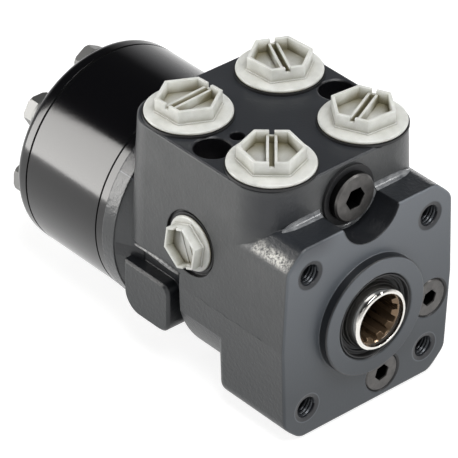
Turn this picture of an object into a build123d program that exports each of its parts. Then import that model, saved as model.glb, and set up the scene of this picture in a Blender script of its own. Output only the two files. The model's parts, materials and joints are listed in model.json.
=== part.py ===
from build123d import *
import os
from math import atan2, cos, degrees, hypot, pi, radians, sin, tan

# Hydraulic orbital steering unit: a rotary spool-and-sleeve valve in a cast-iron housing, with a
# gerotor metering set bolted to its rear end.
# Frame: the shaft axis is Y, the origin is where it meets the front mounting face, the ports
# face up (+Z), and the gear set lies to the rear (+Y). All sizes are millimetres.

# ---- driving dimensions -------------------------------------------------------------------------
# Front flange of the housing
BOLT_CIRCLE_R = 41.25        # four M10 mounting screws on a circle of 82.5 mm diameter
FLANGE_HALF = 41.5           # half the width of the square flange, at the level of the shaft
DRAFT = 2.5                  # degrees that the casting's sides lean in, above and below that level
FLANGE_CORNER_R = 52.4       # its corners lie on this circle about the shaft
FLANGE_EDGE_R = 6.0          # blend between the corner arcs and the straight sides
FLANGE_DEPTH = 37.0
SPIGOT_R = 24.2
SPIGOT_H = 4.0
M10_R = 4.25                 # tapping size
M10_DEPTH = 18.0
M10_MOUTH_R = 6.0
M10_MOUTH_T = 0.45           # shallow countersink

# Body of the housing behind the flange
MID_R = 42.5
MID_REAR = 57.0
MID_SIDE_TOP = 12.0          # above this the port block's wall takes over
WAIST_R = 37.4
REAR_FLANGE_R = 43.0
REAR_FLANGE_T = 6.6
HOUSING_LEN = 99.4
BORE_R = 19.0
BORE_FRONT = 7.5             # shoulder that carries the thrust bearing

# Port block on top of the housing
PORT_FACE_Z = 57.8
PORT_FRONT = 14.0
PORT_REAR = 93.0
PORT_CORNER_R = 15.0
PORT_BOTTOM_Z = 2.0
PORT_X = 22.1                # the four ports stand at +-PORT_X, PORT_MID_Y +- PORT_DY
PORT_MID_Y = 52.0
PORT_DY = 22.6
PORT_BORE_R = 10.5           # G 1/2
PORT_BORE_DEPTH = 15.0
PORT_CORE_R = 8.0
PORT_CORE_Z = 30.0

# Side port (load-sensing line, G 1/4) on the left wall
SIDE_Z = 20.8
SIDE_FACE_X = -39.0          # bottom of its counterbore
SIDE_COUNTERBORE_R = 13.0
SIDE_BORE_R = 6.6
SIDE_BORE_DEPTH = 13.0

# Transport plugs
PLUG_DISC_R = 16.5
PLUG_DISC_T = 2.4
PLUG_HEX_AF = 22.0
PLUG_HEX_H = 5.0
GASKET_T = 1.0
SIDE_PLUG_DISC_R = 12.0
SIDE_PLUG_HEX_AF = 16.0
SIDE_PLUG_HEX_H = 4.2

# Spool, sleeve and what joins them
SHAFT_END_R = 12.1
SHAFT_END_Y = -7.0
SLEEVE_FRONT = 13.6
SLEEVE_REAR = 99.0
SLEEVE_OUT_R = 18.93
SLEEVE_IN_R = 14.0
SPOOL_R = 13.93
SPOOL_REAR = 97.0
SPOOL_BORE_R = 10.9
SOCKET_DEPTH = 29.0
SPRING_SLOT_Y = 30.5         # centre of the slot for the centring springs
SPRING_SLOT_LEN = 9.0
SPRING_SLOT_W = 5.2
PIN_Y = 43.0
PIN_R = 4.0
PIN_HALF_LEN = 18.3
DEFLECTION = 10.0            # degrees that spool and sleeve can turn apart

# Twelve-tooth splines, 16/32 diametral pitch
SPLINE_TEETH = 12
SPLINE_IN_R = 9.0
SPLINE_OUT_R = 10.4

# Metering gear set
PLATE_T = 4.2
GEAR_WIDTH = 41.4
COVER_T = 8.0
GEAR_R = 42.6
LOBES = 7
LOBE_CENTRE_R = 31.5
LOBE_R = 7.3
ECCENTRICITY = 3.4
GEAR_CLEARANCE = 0.06
CARDAN_SPLINE_Y = 112.0
CARDAN_SPLINE_LEN = 12.0
FACE_CLEARANCE = 0.05        # between the rotor and the faces beside it

# Cover bolts, M8
COVER_BOLT_R = 3.95
COVER_HOLE_R = 4.35
COVER_BOLT_AF = 13.0
COVER_BOLT_HEAD = 5.3
COVER_WASHER_R = 7.6
COVER_WASHER_T = 1.4
COVER_BOLT_END = 84.0

# Valves in the housing
RELIEF_Z = 44.8
RELIEF_BORE_R = 8.4
RELIEF_HEAD_R = 9.7
SCALLOP_R = 13.8
SHOCK_X = 30.2
SHOCK_BORE_R = 7.0
SHOCK_SEAT_Z = 31.0
SHOCK_SEAT_R = 1.8
SHOCK_BALL_R = 2.4
SUCTION_R = 32.1
SUCTION_SPREAD = 30.4        # degrees each side of the lower right diagonal
SUCTION_PLUG_R = 7.7
SUCTION_BALL_R = 3.6
SUCTION_SEAT_R = 2.0
SUCTION_SEAT_Y = 20.0
CHECK_BALL_R = 4.0
CHECK_SEAT_R = 3.2
CHECK_LIFT = 1.2

# ---- worked-out places --------------------------------------------------------------------------
PLATE_REAR = HOUSING_LEN + PLATE_T
RING_REAR = PLATE_REAR + GEAR_WIDTH
COVER_REAR = RING_REAR + COVER_T
PORT_HALF_X = FLANGE_HALF - PORT_FACE_Z * tan(radians(DRAFT))
CHECK_STOP_Z = PORT_CORE_Z + 1.0
HOLE_OFFSET = BOLT_CIRCLE_R * cos(radians(45))
LOBE_ANGLES = [90 + k * 360 / LOBES for k in range(LOBES)]
CHAMBER_ANGLES = [angle + 180 / LOBES for angle in LOBE_ANGLES]
PORTS = {
    "left_rear": (-PORT_X, PORT_MID_Y + PORT_DY, -30),
    "right_rear": (PORT_X, PORT_MID_Y + PORT_DY, 8),
    "left_front": (-PORT_X, PORT_MID_Y - PORT_DY, 18.5),
    "right_front": (PORT_X, PORT_MID_Y - PORT_DY, -6),
}
SUCTION_PLACES = [
    (SUCTION_R * cos(radians(angle)), SUCTION_R * sin(radians(angle)))
    for angle in (-45 + SUCTION_SPREAD, -45 - SUCTION_SPREAD)
]
CARDAN_TILT = degrees(atan2(ECCENTRICITY, CARDAN_SPLINE_Y - PIN_Y))


# ---- helpers ------------------------------------------------------------------------------------
def turned(profile):
    """Body turned about the shaft axis from (radius, y) corners."""
    return revolve(make_face(Polyline(*profile, close=True)), Axis.Y)


def along_y(section, start, end):
    """Bar whose (x, z) section runs from y = start to y = end."""
    return extrude(Plane.XZ.offset(-start) * section, amount=start - end)


def rod_x(radius, y, z, start, end):
    return Pos((start + end) / 2, y, z) * Rot(0, 90, 0) * Cylinder(radius, end - start)


def rod_y(radius, x, z, start, end):
    return Pos(x, (start + end) / 2, z) * Rot(90, 0, 0) * Cylinder(radius, end - start)


def rod_z(radius, x, y, start, end):
    return Pos(x, y, (start + end) / 2) * Cylinder(radius, end - start)


def block(x, y, z):
    """Box between two limits on each axis."""
    size = [high - low for low, high in (x, y, z)]
    middle = [(high + low) / 2 for low, high in (x, y, z)]
    return Pos(*middle) * Box(*size)


def cone_y(x, z, start, start_r, end, end_r):
    """Truncated cone along Y with its radius at each end."""
    return Pos(x, (start + end) / 2, z) * Rot(-90, 0, 0) * Cone(start_r, end_r, end - start)


def cone_z(x, y, start, start_r, end, end_r):
    return Pos(x, y, (start + end) / 2) * Cone(start_r, end_r, end - start)


def at_angle(radius, angle):
    """(x, z) of a place on a circle about the shaft."""
    return radius * cos(radians(angle)), radius * sin(radians(angle))


def around_shaft(solid, angle):
    """Solid turned about the shaft so that +X goes towards +Z."""
    return Rot(0, -angle, 0) * solid


def hexagon(across_flats):
    return RegularPolygon(across_flats / 2, 6, major_radius=False)


def spline_section(inner_r, outer_r, inner_half, outer_half):
    """Twelve straight-sided teeth; the half widths are angles in degrees."""
    pitch = 360 / SPLINE_TEETH
    corners = []
    for tooth in range(SPLINE_TEETH):
        for radius, offset in (
            (inner_r, -inner_half),
            (outer_r, -outer_half),
            (outer_r, outer_half),
            (inner_r, inner_half),
        ):
            corners.append(at_angle(radius, tooth * pitch + offset))
    return make_face(Polyline(*corners, close=True))


def coil_spring(coil_r, wire, length, turns):
    """Compression spring standing on z = 0, of square wire with closed, ground ends."""
    path = Helix(pitch=(length - wire) / turns, height=length - wire, radius=coil_r)
    section = Plane(origin=path @ 0, x_dir=(1, 0, 0), z_dir=path % 0) * Rectangle(wire, wire)
    coil = Pos(0, 0, wire / 2) * sweep(section, path=path, is_frenet=True)
    reach = wire / 2 + 0.04
    end_ring = Cylinder(coil_r + reach, wire * 0.7) - Cylinder(coil_r - reach, wire * 0.7)
    half = wire * 0.35
    return coil + Pos(0, 0, half) * end_ring + Pos(0, 0, length - half) * end_ring


# ---- housing ------------------------------------------------------------------------------------
def drafted_square():
    """Section between the casting's sides, which lean in from the parting plane at z = 0."""
    lean = FLANGE_HALF * tan(radians(DRAFT))
    return make_face(
        Polyline(
            (FLANGE_HALF, 0),
            (FLANGE_HALF - lean, FLANGE_HALF),
            (lean - FLANGE_HALF, FLANGE_HALF),
            (-FLANGE_HALF, 0),
            (lean - FLANGE_HALF, -FLANGE_HALF),
            (FLANGE_HALF - lean, -FLANGE_HALF),
            close=True,
        )
    )


def flange_block():
    """Front flange whose corners follow the corner circle."""
    outline = drafted_square() & Circle(FLANGE_CORNER_R)
    corners = [v for v in outline.vertices() if abs(v.Y) > FLANGE_HALF / 2]
    outline = fillet(corners, FLANGE_EDGE_R)
    solid = along_y(outline, 0, FLANGE_DEPTH)
    front = solid.faces().sort_by(Axis.Y)[0]
    solid = fillet(front.edges(), 0.9)
    rear = solid.faces().sort_by(Axis.Y)[-1]
    return fillet(rear.edges(), 3.5)


def mid_body():
    """Round underside behind the flange; its sides run on flat from the flange's."""
    sides = Pos(0, MID_SIDE_TOP / 2) * Rectangle(2 * FLANGE_HALF, MID_SIDE_TOP)
    outline = (Circle(MID_R) + sides) & drafted_square()
    return along_y(outline, FLANGE_DEPTH - 5, MID_REAR)


def port_block():
    """Drafted block with rounded corners; its lower edges are chamfered where it overhangs."""
    middle_y = (PORT_FRONT + PORT_REAR) / 2
    outline = RectangleRounded(2 * PORT_HALF_X, PORT_REAR - PORT_FRONT, PORT_CORNER_R)
    top = Plane(origin=(0, middle_y, PORT_FACE_Z)) * outline
    solid = extrude(top, amount=PORT_BOTTOM_Z - PORT_FACE_Z, taper=-DRAFT)
    upper = solid.faces().sort_by(Axis.Z)[-1]
    solid = chamfer(upper.edges(), 0.7)
    lower = solid.faces().sort_by(Axis.Z)[0]
    return chamfer(lower.edges(), 3.6)


def side_pad():
    """Raised cast pad low on the left side, between the flange block and the rear flange."""
    top_z, bottom_z = -3.3, -24.8
    front_y, rear_y = 61.5, 87.0
    face_x = -43.0
    outline = Pos((front_y + rear_y) / 2, (top_z + bottom_z) / 2) * Rectangle(
        rear_y - front_y, top_z - bottom_z
    )
    low = outline.vertices().group_by(Axis.Y)[0]
    outline = fillet(low.sort_by(Axis.X)[-1], 9.0)
    low = outline.vertices().group_by(Axis.Y)[0]
    outline = fillet(low.sort_by(Axis.X)[0], 5.5)
    top = outline.vertices().group_by(Axis.Y)[-1]
    outline = fillet(top.sort_by(Axis.X)[0], 4.0)
    solid = extrude(Plane(origin=(face_x, 0, 0), x_dir=(0, 1, 0), z_dir=(1, 0, 0)) * outline, amount=12)
    face = solid.faces().sort_by(Axis.X)[0]
    return chamfer(face.edges(), 1.0)


def relief_recess():
    """Scallop in the flange and spotface in the wall behind it, round the relief valve plug."""
    scallop = rod_y(SCALLOP_R, 0, RELIEF_Z, -1, PORT_FRONT - 0.6)
    above = block((-SCALLOP_R, SCALLOP_R), (-1, PORT_FRONT - 0.6), (RELIEF_Z, PORT_FACE_Z - 12))
    return scallop + above


def port_cavities():
    """Four tapped ports in the top face, each leading down to its oil gallery."""
    cavities = []
    for x, y, _ in PORTS.values():
        thread = rod_z(PORT_BORE_R, x, y, PORT_FACE_Z - PORT_BORE_DEPTH, PORT_FACE_Z + 1)
        core = rod_z(PORT_CORE_R, x, y, PORT_CORE_Z, PORT_FACE_Z - PORT_BORE_DEPTH)
        lead = cone_z(x, y, PORT_FACE_Z - 1, PORT_BORE_R, PORT_FACE_Z, PORT_BORE_R + 1)
        cavities += [thread, core, lead]
    x, y, _ = PORTS["right_front"]
    cavities.append(rod_z(4.5, x, y, 24, PORT_CORE_Z))
    return cavities


def side_port_cavity():
    counterbore = rod_x(SIDE_COUNTERBORE_R, PORT_MID_Y, SIDE_Z, SIDE_FACE_X - 6, SIDE_FACE_X)
    bore = rod_x(SIDE_BORE_R, PORT_MID_Y, SIDE_Z, SIDE_FACE_X - 1, SIDE_FACE_X + SIDE_BORE_DEPTH)
    return [counterbore, bore]


def valve_cavities():
    """Bores of the relief valve, the two shock valves and the two suction valves."""
    cavities = [
        rod_y(RELIEF_BORE_R, 0, RELIEF_Z, PORT_FRONT - 2, 30),
        rod_y(7.0, 0, RELIEF_Z, 29, 58),
        rod_y(2.5, 0, RELIEF_Z, 57, 62),
    ]
    for side in (-1, 1):
        x = side * SHOCK_X
        cavities += [
            rod_z(SHOCK_BORE_R, x, PORT_MID_Y, 40, PORT_FACE_Z + 1),
            rod_z(5.5, x, PORT_MID_Y, SHOCK_SEAT_Z, 41),
            rod_z(SHOCK_SEAT_R, x, PORT_MID_Y, 28.6, 32),
            cone_z(x, PORT_MID_Y, PORT_FACE_Z - 0.6, SHOCK_BORE_R, PORT_FACE_Z, SHOCK_BORE_R + 0.6),
        ]
    for x, z in SUCTION_PLACES:
        cavities += [
            rod_y(SUCTION_PLUG_R + 0.05, x, z, -1, 9.5),
            rod_y(5.0, x, z, 9, SUCTION_SEAT_Y),
            rod_y(SUCTION_SEAT_R, x, z, SUCTION_SEAT_Y - 1, 26),
            cone_y(x, z, 0, SUCTION_PLUG_R + 0.7, 0.7, SUCTION_PLUG_R),
        ]
    return cavities


def mounting_holes():
    holes = []
    for x in (-HOLE_OFFSET, HOLE_OFFSET):
        for z in (-HOLE_OFFSET, HOLE_OFFSET):
            holes.append(rod_y(M10_R, x, z, -1, M10_DEPTH))
            holes.append(cone_y(x, z, 0, M10_MOUTH_R, M10_MOUTH_T, M10_R))
    return holes


def rear_face_cavities():
    """Tapped holes for the cover bolts, the seven chamber channels and the O-ring groove."""
    cavities = []
    for angle in LOBE_ANGLES:
        x, z = at_angle(LOBE_CENTRE_R, angle)
        cavities.append(rod_y(COVER_BOLT_R + 0.05, x, z, COVER_BOLT_END - 2, HOUSING_LEN + 1))
    for angle in CHAMBER_ANGLES:
        x, z = at_angle(27.0, angle)
        cavities.append(rod_y(2.5, x, z, 78, HOUSING_LEN + 1))
    cavities.append(seal_groove(HOUSING_LEN - 1.5, HOUSING_LEN + 1))
    return cavities


def seal_groove(start, end):
    return turned([(37.6, start), (39.8, start), (39.8, end), (37.6, end)])


def housing():
    body = flange_block() + port_block() + side_pad()
    body += mid_body()
    body += rod_y(WAIST_R, 0, 0, MID_REAR - 1, HOUSING_LEN)
    body += rod_y(REAR_FLANGE_R, 0, 0, HOUSING_LEN - REAR_FLANGE_T, HOUSING_LEN)
    body += turned(
        [(0, 1), (0, -SPIGOT_H), (SPIGOT_R - 0.6, -SPIGOT_H), (SPIGOT_R, -SPIGOT_H + 0.6), (SPIGOT_R, 1)]
    )
    spool_bore = turned(
        [
            (0, -SPIGOT_H - 1),
            (17.9, -SPIGOT_H - 1),
            (17.9, -SPIGOT_H),
            (17.2, -SPIGOT_H + 0.7),
            (17.2, 0.5),
            (16.4, 0.5),
            (16.4, 6.0),
            (13.4, 6.0),
            (13.4, BORE_FRONT),
            (BORE_R, BORE_FRONT),
            (BORE_R, HOUSING_LEN + 1),
            (0, HOUSING_LEN + 1),
        ]
    )
    body -= relief_recess()
    body -= spool_bore
    body -= port_cavities() + side_port_cavity() + valve_cavities()
    body -= mounting_holes() + rear_face_cavities()
    body -= rod_z(2.9, -18.4, PORT_MID_Y, PORT_FACE_Z - 9, PORT_FACE_Z + 1)
    return body


# ---- rotary valve -------------------------------------------------------------------------------
def pin_slot():
    """Slots in the spool that let the cross pin swing with the sleeve."""
    width = 2 * PIN_R + 0.5
    length = 2 * (PIN_R + SPOOL_R * sin(radians(DEFLECTION + 1.5)))
    outline = SlotOverall(length, width)
    frame = Plane(origin=(-20, PIN_Y, 0), x_dir=(0, 0, 1), z_dir=(1, 0, 0))
    return extrude(frame * outline, amount=40)


def spool():
    """Inner valve: splined shaft end, spring and pin slots, axial control grooves."""
    body = turned(
        [
            (0, SHAFT_END_Y),
            (SHAFT_END_R - 0.5, SHAFT_END_Y),
            (SHAFT_END_R, SHAFT_END_Y + 0.5),
            (SHAFT_END_R, SLEEVE_FRONT + 0.6),
            (SPOOL_R, SLEEVE_FRONT + 0.6),
            (SPOOL_R, SPOOL_REAR),
            (0, SPOOL_REAR),
        ]
    )
    socket_end = SHAFT_END_Y + SOCKET_DEPTH
    lead_in = turned([(0, SHAFT_END_Y - 1), (10.8, SHAFT_END_Y - 1), (10.8, SHAFT_END_Y + 2.2),
                      (SPLINE_IN_R, SHAFT_END_Y + 4.0), (0, SHAFT_END_Y + 4.0)])
    teeth = along_y(spline_section(SPLINE_IN_R, SPLINE_OUT_R, 9.0, 6.2), SHAFT_END_Y + 1, socket_end)
    body -= [lead_in, teeth]
    body -= rod_y(SPOOL_BORE_R, 0, 0, 26, SPOOL_REAR + 1)
    slot_y = (SPRING_SLOT_Y - SPRING_SLOT_LEN / 2, SPRING_SLOT_Y + SPRING_SLOT_LEN / 2)
    body -= block((-SPRING_SLOT_W / 2, SPRING_SLOT_W / 2), slot_y, (-20, 20))
    body -= pin_slot()
    for tooth in range(12):
        start, end = ((54, 72), (64, 86))[tooth % 2]
        groove = block((SPOOL_R - 1.6, SPOOL_R + 1), (start, end), (-1.3, 1.3))
        body -= around_shaft(groove, tooth * 30 + 15)
    return body


def sleeve():
    """Outer valve: feed, return and commutator holes, and seats for the pin and spring ring."""
    body = turned(
        [
            (SLEEVE_IN_R, SLEEVE_FRONT),
            (SLEEVE_OUT_R, SLEEVE_FRONT),
            (SLEEVE_OUT_R, 25.0),
            (17.5, 25.0),
            (17.5, 36.0),
            (SLEEVE_OUT_R, 36.0),
            (SLEEVE_OUT_R, 52.0),
            (17.6, 52.6),
            (17.6, 56.4),
            (SLEEVE_OUT_R, 57.0),
            (SLEEVE_OUT_R, 66.0),
            (17.6, 66.6),
            (17.6, 70.4),
            (SLEEVE_OUT_R, 71.0),
            (SLEEVE_OUT_R, SLEEVE_REAR),
            (SLEEVE_IN_R, SLEEVE_REAR),
        ]
    )
    slot_y = (SPRING_SLOT_Y - SPRING_SLOT_LEN / 2, SPRING_SLOT_Y + SPRING_SLOT_LEN / 2)
    body -= block((-SPRING_SLOT_W / 2, SPRING_SLOT_W / 2), slot_y, (-20, 20))
    body -= rod_x(PIN_R + 0.02, PIN_Y, 0, -20, 20)
    for row_y, count, turn in ((54.5, 6, 0), (68.5, 6, 30), (80.0, 12, 15)):
        for hole in range(count):
            drilled = rod_x(1.5, row_y, 0, SLEEVE_IN_R - 2, SLEEVE_OUT_R + 1)
            body -= around_shaft(drilled, turn + hole * 360 / count)
    return body


def cross_pin():
    pin = rod_x(PIN_R, PIN_Y, 0, -PIN_HALF_LEN, PIN_HALF_LEN)
    ends = pin.faces().sort_by(Axis.X)
    return chamfer(ends[0].edges() + ends[-1].edges(), 0.6)


def flat_leaf_springs():
    """Two straight leaves that stand back to back in the middle of the slot."""
    half_y = SPRING_SLOT_LEN / 2 - 0.3
    span_y = (SPRING_SLOT_Y - half_y, SPRING_SLOT_Y + half_y)
    return [
        block((low, low + 0.4), span_y, (-17.2, 17.2)) for low in (-0.42, 0.02)
    ]


def curved_leaf_springs():
    """Four bowed leaves, two each side, that press on the slot walls of spool and sleeve."""
    leaves = []
    half_y = SPRING_SLOT_LEN / 2 - 0.3
    for side in (-1, 1):
        for layer in (0, 1):
            end_x = 2.05 - 0.45 * layer
            mid_x = 0.95 - 0.45 * layer
            outer = ThreePointArc((side * (end_x + 0.4), -17.2), (side * (mid_x + 0.4), 0),
                                  (side * (end_x + 0.4), 17.2))
            inner = ThreePointArc((side * end_x, -17.2), (side * mid_x, 0), (side * end_x, 17.2))
            ends = [Line(outer @ 0, inner @ 0), Line(outer @ 1, inner @ 1)]
            section = make_face([outer, inner] + ends)
            leaves.append(along_y(section, SPRING_SLOT_Y - half_y, SPRING_SLOT_Y + half_y))
    return leaves


def spring_ring():
    """Plain ring that keeps the springs in their slot and turns with the sleeve."""
    return turned([(17.52, 25.3), (18.85, 25.3), (18.85, 35.7), (17.52, 35.7)])


def cardan_shaft():
    """Drive shaft: a fork that straddles the cross pin, and a crowned spline in the rotor."""
    fork_front = PIN_Y - 5.5
    spline_front = CARDAN_SPLINE_Y - CARDAN_SPLINE_LEN / 2
    spline_rear = CARDAN_SPLINE_Y + CARDAN_SPLINE_LEN / 2
    shank = turned(
        [
            (0, fork_front),
            (8.6, fork_front),
            (9.6, fork_front + 1.2),
            (9.6, PIN_Y + 6.5),
            (7.0, PIN_Y + 10.5),
            (6.6, 75.0),
            (6.6, spline_front - 6),
            (8.2, spline_front - 1.5),
            (8.2, spline_rear),
            (0, spline_rear),
        ]
    )
    tips = turned(
        [
            (0, spline_front),
            (9.3, spline_front),
            (9.85, CARDAN_SPLINE_Y - 2),
            (9.85, CARDAN_SPLINE_Y + 2),
            (9.3, spline_rear),
            (0, spline_rear),
        ]
    )
    teeth = along_y(spline_section(8.2, 10.1, 6.3, 4.0), spline_front, spline_rear)
    jaw = block((-12, 12), (fork_front - 1, PIN_Y + PIN_R + 0.6), (-PIN_R - 0.08, PIN_R + 0.08))
    shaft = shank + (teeth & tips) - jaw
    lean = Pos(0, PIN_Y, 0) * Rot(-CARDAN_TILT, 0, 0) * Pos(0, -PIN_Y, 0)
    return lean * shaft


def thrust_race(start, end):
    race = turned([(12.4, start), (18.7, start), (18.7, end), (12.4, end)])
    return race


def bearing_needles():
    """Radial needles of the thrust bearing."""
    needles = []
    for k in range(20):
        needles.append(around_shaft(rod_x(0.98, 10.5, 0, 14.2, 17.6), k * 18))
    return needles


def bearing_cage():
    cage = turned([(13.3, 9.75), (18.4, 9.75), (18.4, 11.25), (13.3, 11.25)])
    for k in range(20):
        pocket = block((14.1, 17.7), (9, 12), (-1.03, 1.03))
        cage -= around_shaft(pocket, k * 18)
    return cage


def dust_seal():
    return turned([(12.16, -2.6), (13.2, -3.0), (17.18, -3.0), (17.18, 0.5), (14.2, 0.5), (13.0, -1.4)])


def shaft_seal():
    return turned([(12.16, 3.0), (12.9, 1.4), (14.6, 0.6), (16.38, 0.6), (16.38, 6.0), (12.9, 6.0),
                   (12.9, 4.4)])


# ---- metering gear set --------------------------------------------------------------------------
def rotor_outline():
    """Six-lobed path that stays one lobe radius inside the path of the ring's lobe centres."""
    offset = LOBE_R + GEAR_CLEARANCE
    teeth = LOBES - 1
    steps = 20 * teeth
    crowding = 0.14          # brings the points closer together in the valleys
    points = []
    for k in range(steps):
        turn = 2 * pi * k / steps
        t = turn - crowding * sin(teeth * turn)
        x = LOBE_CENTRE_R * cos(t) - ECCENTRICITY * cos(LOBES * t)
        z = LOBE_CENTRE_R * sin(t) - ECCENTRICITY * sin(LOBES * t)
        dx = -LOBE_CENTRE_R * sin(t) + LOBES * ECCENTRICITY * sin(LOBES * t)
        dz = LOBE_CENTRE_R * cos(t) - LOBES * ECCENTRICITY * cos(LOBES * t)
        speed = hypot(dx, dz)
        points.append((x - offset * dz / speed, z + offset * dx / speed))
    return Spline(*points, periodic=True)


def ring_cavity():
    """Round valleys between seven round lobes."""
    valley_r = LOBE_CENTRE_R - LOBE_R + 2 * ECCENTRICITY + 0.15
    cavity = Circle(valley_r)
    for angle in LOBE_ANGLES:
        cavity -= Pos(*at_angle(LOBE_CENTRE_R, angle)) * Circle(LOBE_R)
    return cavity


def bolt_holes(start, end):
    holes = []
    for angle in LOBE_ANGLES:
        x, z = at_angle(LOBE_CENTRE_R, angle)
        holes.append(rod_y(COVER_HOLE_R, x, z, start - 1, end + 1))
    return holes


def distributor_plate():
    plate = rod_y(GEAR_R, 0, 0, HOUSING_LEN, PLATE_REAR)
    plate -= rod_y(12.2, 0, 0, HOUSING_LEN - 1, PLATE_REAR + 1)
    plate -= bolt_holes(HOUSING_LEN, PLATE_REAR)
    for angle in CHAMBER_ANGLES:
        x, z = at_angle(27.0, angle)
        plate -= rod_y(2.5, x, z, HOUSING_LEN - 1, PLATE_REAR + 1)
    return plate


def gear_ring():
    edge = 0.4
    ring = turned(
        [
            (0, PLATE_REAR),
            (GEAR_R - edge, PLATE_REAR),
            (GEAR_R, PLATE_REAR + edge),
            (GEAR_R, RING_REAR - edge),
            (GEAR_R - edge, RING_REAR),
            (0, RING_REAR),
        ]
    )
    ring -= along_y(ring_cavity(), PLATE_REAR - 1, RING_REAR + 1)
    ring -= bolt_holes(PLATE_REAR, RING_REAR)
    ring -= seal_groove(PLATE_REAR - 1, PLATE_REAR + 1.5)
    ring -= seal_groove(RING_REAR - 1.5, RING_REAR + 1)
    return ring


def gear_rotor():
    """Orbiting gear, off centre towards -Z, with the internal spline for the cardan shaft."""
    front = PLATE_REAR + FACE_CLEARANCE
    rear = RING_REAR - FACE_CLEARANCE
    star = along_y(make_face(rotor_outline()), front, rear)
    star -= along_y(spline_section(SPLINE_IN_R, SPLINE_OUT_R, 9.0, 6.2), front - 1, rear + 1)
    return Pos(0, 0, -ECCENTRICITY) * star


def spacer():
    """Loose round bar in the rotor behind the cardan shaft, which it keeps in place."""
    front = CARDAN_SPLINE_Y + CARDAN_SPLINE_LEN / 2 + 0.8
    bar = rod_y(SPLINE_IN_R - 0.2, 0, 0, front, RING_REAR - FACE_CLEARANCE)
    ends = bar.faces().sort_by(Axis.Y)
    return Pos(0, 0, -ECCENTRICITY) * chamfer(ends[0].edges() + ends[-1].edges(), 0.8)


def end_cover():
    bevel = 2.0
    cover = turned(
        [
            (0, RING_REAR),
            (GEAR_R, RING_REAR),
            (GEAR_R, COVER_REAR - bevel),
            (GEAR_R - bevel, COVER_REAR),
            (0, COVER_REAR),
        ]
    )
    return cover - bolt_holes(RING_REAR, COVER_REAR)


def seal_ring(start):
    """O-ring squeezed square into its groove."""
    return turned([(37.7, start), (39.7, start), (39.7, start + 1.5), (37.7, start + 1.5)])


def cover_bolt(angle, pin_tip=False):
    x, z = at_angle(LOBE_CENTRE_R, angle)
    seat = COVER_REAR + COVER_WASHER_T
    turn = Rot(0, 0, angle * 1.7)
    head = along_y(Pos(x, z) * turn * hexagon(COVER_BOLT_AF), seat, seat + COVER_BOLT_HEAD)
    head &= cone_y(x, z, seat - 6, 14.2, seat + COVER_BOLT_HEAD, 6.9)
    bolt = head + rod_y(COVER_BOLT_R, x, z, COVER_BOLT_END, seat)
    if pin_tip:
        bolt -= rod_y(1.5, x, z, COVER_BOLT_END - 1, COVER_BOLT_END + 8)
    return bolt


def cover_washers():
    washers = []
    for angle in LOBE_ANGLES:
        x, z = at_angle(LOBE_CENTRE_R, angle)
        washer = rod_y(COVER_WASHER_R, x, z, COVER_REAR, COVER_REAR + COVER_WASHER_T)
        washers.append(washer - rod_y(COVER_HOLE_R, x, z, COVER_REAR - 1, COVER_REAR + 3))
    return washers


# ---- valves -------------------------------------------------------------------------------------
def relief_plug():
    """Round-headed screw plug with a hexagon socket, screwed in over the relief valve."""
    seat = PORT_FRONT - 1.8
    head = rod_y(RELIEF_HEAD_R, 0, RELIEF_Z, seat - 3.4, seat - 0.0)
    front = head.faces().sort_by(Axis.Y)[0]
    head = chamfer(front.edges(), 0.8)
    plug = head + rod_y(RELIEF_BORE_R - 0.1, 0, RELIEF_Z, seat, 25)
    plug -= along_y(Pos(0, RELIEF_Z) * hexagon(8.0), seat - 5, seat + 3.5)
    return plug - rod_y(4.0, 0, RELIEF_Z, seat + 5, 26)


def relief_washer():
    washer = rod_y(12.0, 0, RELIEF_Z, PORT_FRONT - 1.8, PORT_FRONT - 0.6)
    return washer - rod_y(RELIEF_BORE_R, 0, RELIEF_Z, PORT_FRONT - 3, PORT_FRONT)


def relief_adjuster():
    screw = rod_y(6.95, 0, RELIEF_Z, 26.0, 33.0)
    return screw - along_y(Pos(0, RELIEF_Z) * hexagon(5.0), 25, 29.5)


def relief_spring():
    return Pos(0, 33.0, RELIEF_Z) * Rot(-90, 0, 0) * coil_spring(4.6, 1.1, 15.0, 5)


def relief_poppet():
    """Cone that the spring presses on its seat, with a stem inside the spring."""
    body = rod_y(6.2, 0, RELIEF_Z, 48.0, 50.0)
    stem = rod_y(3.6, 0, RELIEF_Z, 43.0, 48.0)
    return body + stem + cone_y(0, RELIEF_Z, 50.0, 5.0, 54.4, 1.4)


def relief_seat():
    seat = rod_y(6.98, 0, RELIEF_Z, 52.0, 58.0) - rod_y(2.5, 0, RELIEF_Z, 51, 59)
    return seat - cone_y(0, RELIEF_Z, 51.9, 3.6, 53.5, 2.3)


def shock_adjuster(side):
    x = side * SHOCK_X
    screw = rod_z(SHOCK_BORE_R - 0.05, x, PORT_MID_Y, 42.0, 47.5)
    socket = Pos(x, PORT_MID_Y, 44.5) * extrude(hexagon(6.0), amount=4)
    return screw - socket


def shock_spring(side):
    return Pos(side * SHOCK_X, PORT_MID_Y, 36.0) * coil_spring(3.6, 0.9, 6.0, 3)


def shock_poppet(side):
    """Guided spring seat and ball of a shock valve, just off the seat in the foot of its bore."""
    x = side * SHOCK_X
    guide = rod_z(4.8, x, PORT_MID_Y, 33.6, 36.0) + rod_z(2.7, x, PORT_MID_Y, 35, 38.5)
    centre = SHOCK_SEAT_Z + (SHOCK_BALL_R**2 - SHOCK_SEAT_R**2) ** 0.5 + 0.05
    return guide + Pos(x, PORT_MID_Y, centre) * Sphere(SHOCK_BALL_R)


def suction_plug(x, z):
    plug = rod_y(SUCTION_PLUG_R, x, z, 0.15, 9.5)
    front = plug.faces().sort_by(Axis.Y)[0]
    plug = chamfer(front.edges(), 0.5)
    plug -= along_y(Pos(x, z) * Rot(0, 0, 12) * hexagon(6.0), -1, 5)
    return plug + rod_y(1.5, x, z, 9.5, 12.0)


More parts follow.
